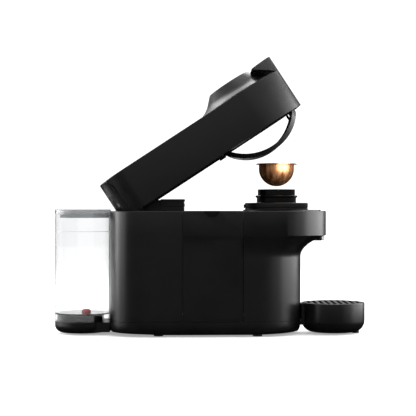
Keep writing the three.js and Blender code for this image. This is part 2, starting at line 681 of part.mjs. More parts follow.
// Rib that carries one hinge pin, hung inside the head beside its bracket.
function hingeRib(side) {
  const y = [side * 44, side * 48].sort((a, b) => a - b);
  const pinY = [side * 24, side * 45].sort((a, b) => a - b);
  const rib = new THREE.Shape();
  rib.moveTo(-118, 174);
  rib.lineTo(-80, 174);
  rib.lineTo(-70, HEAD.top - WALL - GAP);
  rib.lineTo(-118, HEAD.top - WALL - GAP);
  return join(across(rib, y[0], y[1]), rodAlongY(HINGE.x, HINGE.z, KNUCKLE.pin, pinY[0], pinY[1]));
}

function headPieces() {
  headShells();
  onHead('head_crown', crown(), BLACK);
  onHead('head_floor', headFloor(), BLACK);
  onHead('lever', lever(), SATIN);
  const button = join(post(CROWN.x, 0, 24.9, 240.5, 247.5), post(CROWN.x, 0, 3.6, 228, 241, 16));
  onHead('start_button', button, GLOSS);
  onHead('button_light_ring', ring(CROWN.x, 0, 25.2, 27.3, 238.3, 247.8), CLEAR);
  onHead('brew_bell', brewBell(), DARK);
  clamp();
  onHead('hoop', hoop(), BLACK);
  onHead('hoop_bracket', hoopBracket(), BLACK);
  onHead('hoop_pin', rodAlongY(HOOP_PIVOT.x, HOOP_PIVOT.z, 1.5, -10, 10, 16), STEEL);
  for (const [name, side] of [['near', -1], ['far', 1]]) {
    onHead(`latch_hook_${name}`, latchHook(side), BLACK);
    onHead(`hinge_rib_${name}`, hingeRib(side), DARK);
    place(machine, `hinge_bracket_${name}`, hingeBracket(side), DARK);
  }
}

// ---------------------------------------------------------------- the machine

housing();
place(machine, 'rear_deck', rearDeck(), BLACK);
place(machine, 'hinge_housing', springBox(), BLACK);
brewUnit();
spout();
internals();
place(machine, 'tank_cradle', cradle(), BLACK);
tank();
place(machine, 'cup_support', cupSupport(), BLACK);
place(machine, 'drip_grid', dripGrid(), GREY);
place(machine, 'pod_bin', podBin(), BLACK);
headPieces();

export default machine;
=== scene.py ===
"""Looks of a pod coffee machine with its head open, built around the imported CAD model.

Metres, +X towards the coffee outlet, +Y towards the far side, +Z up.
"""

import json
import math

import bmesh
import bpy
from mathutils import Matrix, Vector


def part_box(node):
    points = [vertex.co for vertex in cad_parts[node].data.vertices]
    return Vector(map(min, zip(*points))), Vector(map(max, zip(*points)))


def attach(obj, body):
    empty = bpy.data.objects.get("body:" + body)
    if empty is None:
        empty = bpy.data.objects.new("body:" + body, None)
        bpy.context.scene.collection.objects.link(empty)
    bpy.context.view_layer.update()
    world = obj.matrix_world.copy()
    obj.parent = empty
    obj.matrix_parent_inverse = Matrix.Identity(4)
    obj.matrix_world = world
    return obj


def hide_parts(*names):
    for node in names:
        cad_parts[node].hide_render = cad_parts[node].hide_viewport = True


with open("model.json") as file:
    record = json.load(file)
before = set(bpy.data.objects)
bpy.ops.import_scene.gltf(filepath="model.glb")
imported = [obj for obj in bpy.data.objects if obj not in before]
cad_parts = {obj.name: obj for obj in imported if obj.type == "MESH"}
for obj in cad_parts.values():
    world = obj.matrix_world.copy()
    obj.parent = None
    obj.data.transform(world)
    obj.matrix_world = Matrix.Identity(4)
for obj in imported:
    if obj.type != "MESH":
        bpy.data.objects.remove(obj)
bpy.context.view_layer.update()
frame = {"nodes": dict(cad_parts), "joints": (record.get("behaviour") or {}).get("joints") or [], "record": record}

# ------------------------------------------------------------------ dimensions

MM = 0.001
GAP = 0.3 * MM
WALL = 2.6 * MM
# Past both sides of the machine, and past all of it.
BEYOND = 0.1
FAR = 1

REAR_LOW, REAR_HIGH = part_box("rear_housing")
FRONT_LOW, FRONT_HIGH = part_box("front_housing")
PAN_LOW, PAN_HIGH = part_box("base_pan")
HALF = REAR_HIGH.y
REAR_X = REAR_LOW.x
DECK_Z = REAR_HIGH.z
BASE_Z = PAN_HIGH.z
SEAM_REAR = REAR_HIGH.x + GAP
SEAM_FRONT = FRONT_LOW.x - GAP
BREW_X = FRONT_HIGH.x - HALF
TOE_HALF = 64.2 * MM
TOE_X = PAN_HIGH.x - TOE_HALF
TOE_TOP = 105 * MM
LIP_Z = 135 * MM
CORNER = 40 * MM

HEAD_HALF = 65.2 * MM
HEAD_REAR = -132.5 * MM
HEAD_NOSE_X = 93.5 * MM
HEAD_FLOOR = 168.8 * MM
HEAD_TOP = 225.5 * MM
CROWN_X = 90.8 * MM
CROWN_TOP = 248 * MM
STRIP_X = 154.8 * MM
VISOR_X = 124.5 * MM
BROW_X = 153 * MM
BROW_TIP = 244 * MM
BROW_EDGE = 1.2 * MM

TANK_WALL = 1.6 * MM
TANK_FLOOR = 28.8 * MM

HEAD_TILT = next(j for j in frame["joints"] if j["name"] == "head_tilt")
HINGE = Vector(HEAD_TILT["pos_m"])
HEAD_OPEN = math.radians(-HEAD_TILT["range_deg"][0])
OPENED = Matrix.Translation(HINGE) @ Matrix.Rotation(-HEAD_OPEN, 4, "Y") @ Matrix.Translation(-HINGE)


def clamp01(value):
    return min(1.0, max(0.0, value))


def lerp(a, b, t):
    return a + (b - a) * t


def mm(*values):
    """Millimetres as metres."""
    return tuple(value * MM for value in values)


def quarter(steps):
    """Angles from 0 to a right angle."""
    return [math.pi / 2 * i / steps for i in range(steps + 1)]


def middle(low, high):
    """Plan centre of a box."""
    return (low.x + high.x) / 2, (low.y + high.y) / 2


# ------------------------------------------------------------------ outlines


def arc(x, y, radius, start, end, steps):
    """Points on an arc, angles in degrees."""
    angles = [math.radians(lerp(start, end, i / steps)) for i in range(steps + 1)]
    return [(x + radius * math.cos(a), y + radius * math.sin(a)) for a in angles]


def bezier(start, bend, end, steps=16):
    """Points on a quadratic curve from start to end, pulled towards bend."""
    points = []
    for i in range(steps + 1):
        t = i / steps
        points.append(
            tuple((1 - t) ** 2 * s + 2 * t * (1 - t) * b + t * t * e for s, b, e in zip(start, bend, end))
        )
    return points


def rounded_top(edge, high, steps):
    """(inset, z) points of a rounded edge, from the side of a wall up to its top."""
    return [(edge * (1 - math.cos(a)), high - edge * (1 - math.sin(a))) for a in quarter(steps)]


def rounded_bottom(radius, low, edge, steps):
    """(radius, z) points of a rounded edge, from the underside out to the side."""
    return [(radius - edge + edge * math.sin(a), low + edge - edge * math.cos(a)) for a in quarter(steps)]


def inward(radius, edge):
    """(inset, z) points as (radius, z) points."""
    return [(radius - inset, z) for inset, z in edge]


def rear_corners(rear_x, half, inset):
    x, y, radius = rear_x + CORNER, half - CORNER, CORNER - inset
    return [*arc(x, y, radius, 90, 180, 28), *arc(x, -y, radius, 180, 270, 28)]


def ellipse(x, half_x, half_y, steps=96):
    angles = [2 * math.pi * i / steps for i in range(steps)]
    return [(x + half_x * math.cos(a), half_y * math.sin(a)) for a in angles]


def lip_at(z):
    """How far the front has swept out at a height: 0 at the toe and 1 at the lip."""
    return clamp01((z - TOE_TOP) / (LIP_Z - TOE_TOP)) ** 2.2


def nose(z, inset):
    """Centre and radius of the round front at a height."""
    lip = lip_at(z)
    return lerp(TOE_X, BREW_X, lip), lerp(TOE_HALF, HALF, lip) - inset


def side_y(x, z, inset):
    """Half width of the straight sides, which taper a little towards the toe."""
    nose_x, nose_half = nose(z, inset)
    return lerp(HALF - inset, nose_half, clamp01((x - SEAM_REAR) / (nose_x - SEAM_REAR)))


def front_path(inset, z):
    x = SEAM_FRONT + GAP
    nose_x, nose_half = nose(z, inset)
    edge = side_y(x, z, inset)
    return [(x, -edge), *arc(nose_x, 0, nose_half, -90, 90, 72), (x, edge)]


def rear_path(inset, z):
    x = SEAM_REAR - GAP
    return [(x, HALF - inset), *rear_corners(REAR_X, HALF, inset), (x, inset - HALF)]


def panel_path(side):
    def path(inset, z):
        ends = (SEAM_REAR + GAP, SEAM_FRONT - GAP)
        return [(x, side * side_y(x, z, inset)) for x in ends]

    return path


def body_plan(inset, z):
    """Closed outline of the housing at a height."""
    nose_x, nose_half = nose(z, inset)
    return [
        *arc(nose_x, 0, nose_half, -90, 90, 72),
        (SEAM_REAR, HALF - inset),
        *rear_corners(REAR_X, HALF, inset),
        (SEAM_REAR, inset - HALF),
    ]


def head_plan(inset):
    """Closed outline of the head, which is upright all the way round."""
    front = arc(HEAD_NOSE_X, 0, HEAD_HALF - inset, -90, 90, 96)
    return [*front, *rear_corners(HEAD_REAR, HEAD_HALF, inset)]


# ------------------------------------------------------------------ mesh helpers


def level(outline, z):
    """A plan outline raised to a height."""
    return [(x, y, z) for x, y in outline]


def mesh_object(name, points, faces):
    mesh = bpy.data.meshes.new(name)
    mesh.from_pydata([tuple(p) for p in points], [], faces)
    bm = bmesh.new()
    bm.from_mesh(mesh)
    bmesh.ops.remove_doubles(bm, verts=bm.verts, dist=1e-7)
    bmesh.ops.recalc_face_normals(bm, faces=bm.faces)
    bm.to_mesh(mesh)
    bm.free()
    piece = bpy.data.objects.new(name, mesh)
    bpy.context.scene.collection.objects.link(piece)
    return piece


def sweep(name, path, section, closed=False):
    """Skin a closed section of (inset, z) points along a plan path."""
    rows = [level(path(inset, z), z) for inset, z in section]
    count = len(rows[0])
    faces = []
    for j in range(len(rows)):
        k = (j + 1) % len(rows)
        for i in range(count if closed else count - 1):
            n = (i + 1) % count
            faces.append((j * count + i, j * count + n, k * count + n, k * count + i))
    if not closed:
        faces.append([j * count for j in range(len(rows))])
        faces.append([j * count + count - 1 for j in reversed(range(len(rows)))])
    return mesh_object(name, [p for row in rows for p in row], faces)


def loft(name, rings):
    """Skin closed rings of points, each with the same count, and cap both ends."""
    count = len(rings[0])
    faces = [list(range(count)), [len(rings) * count - 1 - i for i in range(count)]]
    for j in range(len(rings) - 1):
        for i in range(count):
            n = (i + 1) % count
            faces.append((j * count + i, j * count + n, (j + 1) * count + n, (j + 1) * count + i))
    return mesh_object(name, [p for ring in rings for p in ring], faces)


def prism(name, outline, low, high):
    return loft(name, [level(outline, z) for z in (low, high)])


def side_prism(name, outline, low=-BEYOND, high=BEYOND):
    """A side outline of (x, z) points taken across from y low to y high."""
    return loft(name, [[(x, y, z) for x, z in outline] for y in (low, high)])


def block(name, low, high):
    corners = [(low[0], low[1]), (high[0], low[1]), (high[0], high[1]), (low[0], high[1])]
    return prism(name, corners, low[2], high[2])


def ahead_of(x):
    """Everything ahead of a plane across the machine."""
    return block("ahead", (x, -FAR, -FAR), (FAR, FAR, FAR))


def behind(x):
    """Everything behind a plane across the machine."""
    return block("behind", (-FAR, -FAR, -FAR), (x, FAR, FAR))


def turned(name, x, profile, steps=128):
    """A closed profile of (radius, z) points turned about the upright axis at x."""
    angles = [2 * math.pi * i / steps for i in range(steps)]
    rows = [[(x + r * math.cos(a), r * math.sin(a), z) for r, z in profile] for a in angles]
    count = len(profile)
    faces = []
    for j in range(steps):
        k = (j + 1) % steps
        for i in range(count):
            n = (i + 1) % count
            faces.append((j * count + i, k * count + i, k * count + n, j * count + n))
    piece = mesh_object(name, [p for row in rows for p in row], faces)
    bm = bmesh.new()
    bm.from_mesh(piece.data)
    flat = [f for f in bm.faces if f.calc_area() < 1e-13]
    bmesh.ops.delete(bm, geom=flat, context="FACES_ONLY")
    bmesh.ops.recalc_face_normals(bm, faces=bm.faces)
    bm.to_mesh(piece.data)
    bm.free()
    return piece


def post(name, x, y, radius, low, high, steps=64):
    return prism(name, arc(x, y, radius, 0, 360 - 360 / steps, steps - 1), low, high)


def rod_y(name, x, z, radius, low, high, steps=64):
    return side_prism(name, arc(x, z, radius, 0, 360 - 360 / steps, steps - 1), low, high)


def rod_x(name, y, z, radius, low, high, steps=48):
    ring = arc(y, z, radius, 0, 360 - 360 / steps, steps - 1)
    return loft(name, [[(x, a, b) for a, b in ring] for x in (low, high)])


def combine(piece, operation, *tools):
    """Joins, cuts or intersects a piece with tools, which are used up."""
    for tool in tools:
        modifier = piece.modifiers.new("combine", "BOOLEAN")
        modifier.operation = operation
        modifier.solver = "EXACT"
        modifier.object = tool
        bpy.context.view_layer.update()
        result = piece.evaluated_get(bpy.context.evaluated_depsgraph_get())
        mesh = bpy.data.meshes.new_from_object(result)
        piece.modifiers.remove(modifier)
        piece.data = mesh
        bpy.data.objects.remove(tool)
    return piece


def cut(piece, *tools):
    return combine(piece, "DIFFERENCE", *tools)


def join(piece, *tools):
    return combine(piece, "UNION", *tools)


def common(piece, tool):
    return combine(piece, "INTERSECT", tool)


def soften(piece, width, angle=32, segments=3):
    """Smooth shading with a small round along every hard edge."""
    for polygon in piece.data.polygons:
        polygon.use_smooth = True
    if width:
        bevel = piece.modifiers.new("edges", "BEVEL")
        bevel.width = width
        bevel.segments = segments
        bevel.limit_method = "ANGLE"
        bevel.angle_limit = math.radians(angle)
        bevel.harden_normals = True
    else:
        piece.data.set_sharp_from_angle(angle=math.radians(angle))


def on_head(piece):
    """Head pieces are drawn closed, in machine coordinates, and turned open about the hinge."""
    piece.data.transform(OPENED)
    return piece


# ------------------------------------------------------------------ materials


def node_tree(name):
    material = bpy.data.materials.new(name)
    material.use_nodes = True
    tree = material.node_tree
    shader = tree.nodes["Principled BSDF"]
    coordinates = tree.nodes.new("ShaderNodeTexCoord")
    return material, tree, shader, coordinates


def noise(tree, coordinates, scale, detail=3.0, stretch=(1, 1, 1)):
    mapping = tree.nodes.new("ShaderNodeMapping")
    mapping.inputs["Scale"].default_value = stretch
    texture = tree.nodes.new("ShaderNodeTexNoise")
    texture.inputs["Scale"].default_value = scale
    texture.inputs["Detail"].default_value = detail
    tree.links.new(coordinates.outputs["Object"], mapping.inputs["Vector"])
    tree.links.new(mapping.outputs["Vector"], texture.inputs["Vector"])
    return texture.outputs["Fac"]


def between(tree, factor, low, high):
    spread = tree.nodes.new("ShaderNodeMapRange")
    spread.inputs["From Min"].default_value = 0.3
    spread.inputs["From Max"].default_value = 0.7
    spread.inputs["To Min"].default_value = low
    spread.inputs["To Max"].default_value = high
    tree.links.new(factor, spread.inputs["Value"])
    return spread.outputs["Result"]


def tint(tree, factor, dark, light):
    ramp = tree.nodes.new("ShaderNodeValToRGB")
    ramp.color_ramp.elements[0].position = 0.35
    ramp.color_ramp.elements[0].color = (*dark, 1)
    ramp.color_ramp.elements[1].position = 0.65
    ramp.color_ramp.elements[1].color = (*light, 1)
    tree.links.new(factor, ramp.inputs["Fac"])
    return ramp.outputs["Color"]


def bump(tree, height, strength, distance):
    node = tree.nodes.new("ShaderNodeBump")
    node.inputs["Strength"].default_value = strength
    node.inputs["Distance"].default_value = distance
    tree.links.new(height, node.inputs["Height"])
    return node.outputs["Normal"]


def plastic(name, dark, light, roughness, grain=1400, strength=0.12, specular=0.5):
    """Moulded plastic: cloudy colour, uneven gloss and a spark-eroded grain."""
    material, tree, shader, coordinates = node_tree(name)
    cloud = noise(tree, coordinates, 22, 2)
    tree.links.new(tint(tree, cloud, dark, light), shader.inputs["Base Color"])
    patches = noise(tree, coordinates, 60, 4)
    uneven = between(tree, patches, roughness * 0.92, roughness * 1.08)
    tree.links.new(uneven, shader.inputs["Roughness"])
    pits = noise(tree, coordinates, grain, 2)
    tree.links.new(bump(tree, pits, strength, 0.05 * MM), shader.inputs["Normal"])
    shader.inputs["Specular IOR Level"].default_value = specular
    return material


def metal(name, dark, light, roughness, stretch=(1, 1, 1), scale=300, strength=0.08):
    """Metal with drawn or turned marks along the directions that are stretched least; on the copper coat these
    light and dark streaks in the colour are also painted streak highlights.
    """
    material, tree, shader, coordinates = node_tree(name)
    marks_and_sheen = noise(tree, coordinates, scale, 4, stretch)
    tree.links.new(tint(tree, marks_and_sheen, dark, light), shader.inputs["Base Color"])
    uneven = between(tree, marks_and_sheen, roughness * 0.8, roughness * 1.2)
    tree.links.new(uneven, shader.inputs["Roughness"])
    tree.links.new(bump(tree, marks_and_sheen, strength, 0.05 * MM), shader.inputs["Normal"])
    shader.inputs["Metallic"].default_value = 1.0
    return material


def clear(name, dark, light, roughness, transmission=1.0, smoke=0.0):
    """Clear moulded plastic with faint flow marks, and darker where more of it is looked through."""
    material, tree, shader, coordinates = node_tree(name)
    flow = noise(tree, coordinates, 18, 2, (1, 1, 0.3))
    tree.links.new(tint(tree, flow, dark, light), shader.inputs["Base Color"])
    uneven = between(tree, flow, roughness * 0.8, roughness * 1.2)
    tree.links.new(uneven, shader.inputs["Roughness"])
    tree.links.new(bump(tree, flow, 0.02, 0.1 * MM), shader.inputs["Normal"])
    shader.inputs["Transmission Weight"].default_value = transmission
    shader.inputs["IOR"].default_value = 1.46
    if smoke:
        volume = tree.nodes.new("ShaderNodeVolumeAbsorption")
        volume.inputs["Color"].default_value = (0.1, 0.1, 0.1, 1)
        volume.inputs["Density"].default_value = smoke
        tree.links.new(volume.outputs["Volume"], tree.nodes["Material Output"].inputs["Volume"])
    return material


MATERIALS = {
    "housing_black": plastic("housing_black", (0.0018, 0.0019, 0.0019), (0.0026, 0.0027, 0.0027), 0.32),
    "inner_dark": plastic("inner_dark", (0.005, 0.005, 0.005), (0.008, 0.008, 0.008), 0.6),
    "gloss_black": plastic(
        "gloss_black", (0.0012, 0.0012, 0.0013), (0.0018, 0.0018, 0.002), 0.16, 600, 0.03, 0.35
    ),
    "lever_satin": plastic(
        "lever_satin", (0.008, 0.008, 0.0082), (0.012, 0.012, 0.0122), 0.7, 1100, 0.2, 0.2
    ),
    "grey_plastic": plastic(
        "grey_plastic", (0.004, 0.0042, 0.0044), (0.006, 0.0062, 0.0064), 0.4, specular=0.3
    ),
    "tank_lid_grey": clear("tank_lid_grey", (0.24, 0.25, 0.255), (0.3, 0.31, 0.315), 0.2, 0.85),
    "steel": metal("steel", (0.5, 0.51, 0.52), (0.64, 0.65, 0.66), 0.28, (1, 1, 0.1)),
    "alloy": metal("alloy", (0.58, 0.59, 0.6), (0.74, 0.75, 0.76), 0.35),
    # Copper coat: its colour streaks from dark brown to light copper, partly drawing marks and partly painted
    # streak highlights.
    "copper_coat": metal("copper_coat", (0.55, 0.22, 0.08), (0.86, 0.42, 0.2), 0.42, (1, 1, 0.03), 240, 0.12),
    "rubber": plastic("rubber", (0.012, 0.012, 0.012), (0.02, 0.02, 0.02), 0.8, 900, 0.2),
    "clear_tank": clear("clear_tank", (0.94, 0.945, 0.95), (0.97, 0.975, 0.98), 0.03, 1.0, 42),
    "clear_trim": clear("clear_trim", (0.6, 0.62, 0.64), (0.75, 0.77, 0.79), 0.3, 0.7),
    "red_seal": plastic("red_seal", (0.45, 0.012, 0.01), (0.6, 0.02, 0.015), 0.35, 800, 0.05),
    "board_green": plastic("board_green", (0.015, 0.1, 0.04), (0.025, 0.15, 0.06), 0.45, 500, 0.1),
}


def skin_cad_nodes():
    """Every CAD node starts with the procedural material of its slot."""
    slots = {s["node"]: s["material_slot"] for s in frame["record"]["subparts"]}
    for name, node in frame["nodes"].items():
        node.data.materials.clear()
        node.data.materials.append(MATERIALS[slots[name]])


def made(piece, body, slot, nodes=(), edge=0.35 * MM, angle=32):
    """Gives a finished piece the material of its slot and its body, and hides the CAD nodes it stands for."""
    piece.data.materials.clear()
    piece.data.materials.append(MATERIALS[slot])
    soften(piece, edge, angle)
    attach(piece, body)
    if nodes:
        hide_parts(*nodes)


# ------------------------------------------------------------------ housing


def shell_section(low, high):
    """A wall with a rounded top edge, following the sweep of the front."""
    rise = [lerp(TOE_TOP, LIP_Z, i / 20) for i in range(21)]
    levels = [low, *[z for z in rise if low < z < high]]
    outer = [(0, z) for z in levels]
    inner = [(WALL, z) for z in reversed(levels)]
    return [*outer, *rounded_top(1.2 * MM, high, 6), (WALL, high), *inner]


def housing():
    low = BASE_Z + GAP
    section = shell_section(low, DECK_Z)
    rear = sweep("rear_wall", rear_path, section)
    cord_low, cord_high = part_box("cord_inlet")
    cord_y, cord_z = (cord_low.y + cord_high.y) / 2, (cord_low.z + cord_high.z) / 2
    cord_radius = 7.3 * MM
    hole = rod_x("hole", cord_y, cord_z, cord_radius, REAR_X - 5 * MM, REAR_X + 30 * MM)
    made(cut(rear, hole), "housing", "housing_black", ["rear_housing"])

    far = sweep("far_panel", panel_path(1), section)
    made(far, "housing", "housing_black", ["far_side_panel"])

    front = sweep("front_wall", front_path, section)
    spout_low, spout_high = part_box("spout")
    room = Vector((12 * MM, GAP, GAP))
    mouth = block("mouth", spout_low - room - Vector((0, 0, 6 * MM)), spout_high + room)
    made(cut(front, mouth), "housing", "housing_black", ["front_housing"])

    made(base_pan(), "housing", "housing_black", ["base_pan"])
    for node in [n for n in frame["nodes"] if n.startswith("foot_")]:
        foot(node)


def base_pan():
    """Pan under the housing: rounded into its sides, flat between the feet and rising to both ends."""
    low, high = PAN_LOW.z, PAN_HIGH.z
    rings = []
    for a in quarter(16):
        z = lerp(high, low, math.sin(a))
        inset = 8 * MM * (1 - math.cos(a)) ** 1.6
        rings.append(level(body_plan(inset, low), z))
    pan = common(loft("pan", rings), above_underside(0))
    side_wall, floor = 11 * MM, 3 * MM
    inside = common(prism("inside", body_plan(side_wall, low), low, high + MM), above_underside(floor))
    tongue = block("tongue", mm(108, -16.5, 12), mm(130, 16.5, 18.7))
    bridge = block("bridge", mm(-140, -30.3, 11.7), mm(-120, 30.3, 17.3))
    return cut(pan, inside, tongue, bridge)


def above_underside(lift):
    """Everything above the underside, which is raised by lift."""
    low = PAN_LOW.z
    rear = bezier((REAR_X - MM, 5.4 * MM), (-100 * MM, 4.6 * MM), (-60 * MM, low))
    front = bezier((50 * MM, low), (90 * MM, 3.6 * MM), (PAN_HIGH.x + MM, 4.6 * MM))
    outline = [(x, z + lift) for x, z in [*rear, *front]]
    return side_prism("above", [*outline, (outline[-1][0], BEYOND), (outline[0][0], BEYOND)])


def foot(node):
    """Rubber foot with a rounded sole and a shallow ring in it."""
    low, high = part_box(node)
    x, y = middle(low, high)
    radius, ring_z = (high.x - low.x) / 2, low.z + 0.4 * MM
    profile = [(0, ring_z), (radius * 0.55, ring_z), (radius * 0.62, low.z)]
    profile += rounded_bottom(radius, low.z, 0.8 * MM, 5)
    profile += [(radius, high.z), (0, high.z)]
    piece = turned(node + "_pad", x, profile, 48)
    piece.data.transform(Matrix.Translation((0, y, 0)))
    made(piece, "housing", "rubber", [node], 0)


def hinge_housing():
    """Spring box behind the drawer: a body with an overhanging ribbed lid, and a lower rear part."""
    low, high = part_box("hinge_housing")
    lip = 0.8 * MM
    start, step, lid_z = -66.5 * MM, -83 * MM, high.z - 2.8 * MM
    inset, rear_inset, tail_inset = 0.3 * MM, 3.8 * MM, 7.3 * MM
    body = block("spring_box", (start, low.y + lip, low.z), (high.x - lip, high.y - lip, lid_z + 0.2 * MM))
    lid = block("lid", (start, low.y, lid_z), (high.x, high.y, high.z))
    band_low = (start + 2 * MM, low.y + inset, 174 * MM)
    band = block("band", band_low, (high.x - inset, high.y - inset, 178 * MM))
    rear_low = (step - MM, low.y + rear_inset, low.z)
    rear = block("rear", rear_low, (start + MM, high.y - rear_inset, high.z - MM))
    tail = block("tail", (low.x, low.y + tail_inset, low.z), (step, high.y - tail_inset, high.z - MM))
    box = join(body, lid, band, rear, tail)
    made(box, "housing", "housing_black", ["hinge_housing"], 0.6 * MM)


def spout():
    """Coffee outlet under the lip, and its nose, whose light clear grey is a painted highlight on the end of the
    black outlet.
    """
    low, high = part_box("spout")
    body = block("spout_block", low, high)
    made(body, "housing", "housing_black", ["spout"], 0.8 * MM)
    low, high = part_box("spout_nose")
    # Painted highlight: the nose is light clear grey where the real outlet's end is black and only catches the
    # light.
    painted_highlight_nose = block("spout_tip", low, high)
    made(painted_highlight_nose, "housing", "clear_trim", ["spout_nose"], 1.2 * MM)


# ------------------------------------------------------------------ brew unit


def brew_deck():
    """Deck round the pod holder, with the ring trough for the ejector hoop."""
    low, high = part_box("brew_deck")
    inner, outer = 47 * MM, 60 * MM
    wall, base = 2.5 * MM, 1.5 * MM
    plate_top = DECK_Z - 2 * MM
    deck = prism("deck", body_plan(WALL + GAP, DECK_Z), plate_top - wall, plate_top)
    channel = post("channel", BREW_X, 0, outer + wall, low.z, plate_top + 0.001 * MM, 128)
    rim = post("rim", BREW_X, 0, outer + 1.6 * MM, plate_top - MM, high.z, 128)
    deck = join(deck, channel, cut(rim, ahead_of(STRIP_X - WALL - 0.8 * MM)))
    above, below = 0.2, 0.1
    well = post("well", BREW_X, 0, inner - wall, below, above, 128)
    profile = [(inner, low.z + base), (outer, low.z + base), (outer, above), (inner, above)]
    trough = turned("trough", BREW_X, profile)
    deck = cut(deck, well, trough, behind(SEAM_FRONT + WALL))
    made(deck, "housing", "housing_black", ["brew_deck"], 0.3 * MM)


def collar():
    low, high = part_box("collar_base")
    inner, outer = 30 * MM, (high.x - low.x) / 2
    profile = [(inner, low.z), (outer, low.z), (outer, high.z), (inner, high.z)]
    made(turned("collar", BREW_X, profile), "housing", "housing_black", ["collar_base"])


def lock_ring():
    """Bayonet ring with a groove round its side, a dished top and one lug."""
    low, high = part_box("lock_ring")
    base, top = low.z, high.z
    outer, inner = 43.3 * MM, 29 * MM
    round_top = inward(outer, rounded_top(1.5 * MM, top, 6))
    groove = [
        (outer, base + 3 * MM),
        (outer - 0.7 * MM, base + 3.3 * MM),
        (outer - 0.7 * MM, base + 4.1 * MM),
        (outer, base + 4.4 * MM),
    ]
    dish = [(36 * MM, top), (35.4 * MM, top - MM), (31 * MM, top - MM), (30.4 * MM, top)]
    profile = [(inner, base), (outer, base), *groove, *round_top, *dish, (inner, top)]
    ring = turned("bayonet_ring", BREW_X, profile)
    lug = block("lug", (BREW_X - 44.9 * MM, *mm(-5, 172)), (BREW_X - 38 * MM, *mm(5, 177)))
    made(join(ring, lug), "lock_ring", "housing_black", ["lock_ring"], 0.3 * MM)


def dome(radius, depth, top, steps=22):
    """Straight at the rim, then a round bottom, as (radius, z) from the rim down to the axis."""
    straight = 6 * MM
    points = [(radius, top), (radius, top - straight)]
    for a in quarter(steps)[1:]:
        points.append((max(0, radius * math.cos(a)), top - straight - (depth - straight) * math.sin(a)))
    points[-1] = (0, points[-1][1])
    return points


def pod_holder():
    """Spinning holder: a flanged barrel over a cone and a shaft, with a round seat for the pod."""
    low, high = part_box("pod_holder")
    top, flange_z, barrel_z = high.z, 186.6 * MM, 166 * MM
    barrel, flange, cup = 27 * MM, 28.8 * MM, 25.6 * MM
    outside = [
        (0, low.z),
        (9 * MM, low.z),
        (14 * MM, barrel_z - 3 * MM),
        (barrel, barrel_z),
        (barrel, flange_z - 0.8 * MM),
        (flange - 0.3 * MM, flange_z + 0.4 * MM),
        (flange, flange_z + 0.9 * MM),
        (flange, flange_z + 2.1 * MM),
        (flange - 0.5 * MM, flange_z + 2.5 * MM),
        (cup, flange_z + 3 * MM),
        (cup, top - 0.2 * MM),
        (cup - 0.2 * MM, top),
    ]
    seat = dome(24.5 * MM, 30.3 * MM, top)
    holder = turned("capsule_holder", BREW_X, [*outside, *seat])
    made(holder, "holder", "gloss_black", ["pod_holder"], 0, 25)


def pod():
    """Drawn aluminium cup with a curled rim, and a foil sealed across it."""
    low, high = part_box("pod_cup")
    radius, rim, wall = 24.15 * MM, (high.x - low.x) / 2, 0.6 * MM
    curl = 0.7 * MM
    seat = high.z - curl
    depth = seat - low.z
    outer = list(reversed(dome(radius, depth, seat, 40)))
    bead = [
        (rim - curl / 2 + curl / 2 * math.sin(a), seat + curl / 2 - curl / 2 * math.cos(a))
        for a in [math.pi * i / 10 for i in range(11)]
    ]
    inner = dome(radius - wall, depth - wall, high.z, 40)
    cup = turned("capsule", BREW_X, [*outer, *bead, *inner], 160)
    made(cup, "pod", "copper_coat", ["pod_cup"], 0, 40)

    low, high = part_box("pod_foil")
    radius = (high.x - low.x) / 2
    thickness = high.z - low.z
    ripples = []
    for t in [i / 24 for i in range(24, 0, -1)]:
        ripple = 0.05 + 0.25 * math.cos(9 * t) ** 2
        ripples.append((radius * t, low.z + ripple * thickness + 0.12 * MM))
    profile = [(0, low.z), (radius, low.z), *ripples, (0, high.z - 0.1 * MM)]
    made(turned("foil", BREW_X, profile), "pod", "alloy", ["pod_foil"], 0, 40)


# ------------------------------------------------------------------ tank


def tank_ring(inset, steps=128):
    """Plan outline of the tank, drawn in by an inset."""
    low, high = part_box("tank_shell")
    return ellipse(middle(low, high)[0], (high.x - low.x) / 2 - inset, high.y - inset, steps)


def tank_cradle():
    """Rounded bowl under the tank, with a boss inside the tank's skirt and a bridge to the housing."""
    low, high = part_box("tank_cradle")
    x = middle(*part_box("tank_shell"))[0]
    top, radius = 17.3 * MM, 10 * MM
    edge = [(radius * (1 - math.sin(a)), low.z + radius * (1 - math.cos(a))) for a in quarter(16)]
    bowl = loft("cradle_bowl", [level(tank_ring(inset, 96), z) for inset, z in [*edge, (0, top)]])
    boss = prism("boss", ellipse(x, *mm(35.6, 38.8)), 16 * MM, high.z)
    boss = common(boss, behind(-146.8 * MM))
    bridge = block("bridge", mm(-160, -34, 4), (REAR_X - GAP, 34 * MM, top - 0.05 * MM))
    tongue = block("tongue", mm(-140, -30, 12), mm(-121, 30, 17))
    bowl = join(bowl, boss, bridge, tongue)
    valve_x = middle(*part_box("tank_valve"))[0]
    bowl = cut(bowl, post("seat", valve_x, 0, *mm(7.5, 20, 40)))
    made(bowl, "housing", "housing_black", ["tank_cradle"], 0.4 * MM)


def tank():
    """Clear oval tank with a floor above its skirt, and the fill line on its near side."""
    low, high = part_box("tank_shell")
    section = [
        (0, low.z),
        (0, high.z - 0.4 * MM),
        (0.4 * MM, high.z),
        (TANK_WALL - 0.3 * MM, high.z),
        (TANK_WALL, high.z - 0.3 * MM),
        (TANK_WALL, low.z),
    ]
    shell = sweep("water_tank", lambda inset, z: tank_ring(inset), section, closed=True)
    bottom = prism("bottom", tank_ring(TANK_WALL / 2), TANK_FLOOR - 2 * MM, TANK_FLOOR)
    valve_x = middle(*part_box("tank_valve"))[0]
    bottom = cut(bottom, post("bore", valve_x, 0, 3.6 * MM, 0, BEYOND))
    made(join(shell, bottom), "tank", "clear_tank", ["tank_shell"], 0, 30)

    section = [mm(0.05, 139.6), mm(0.05, 140.3), mm(-0.12, 140.2), mm(-0.12, 139.7)]
    made(sweep("fill_line", near_half, section), "tank", "clear_trim", [], 0)


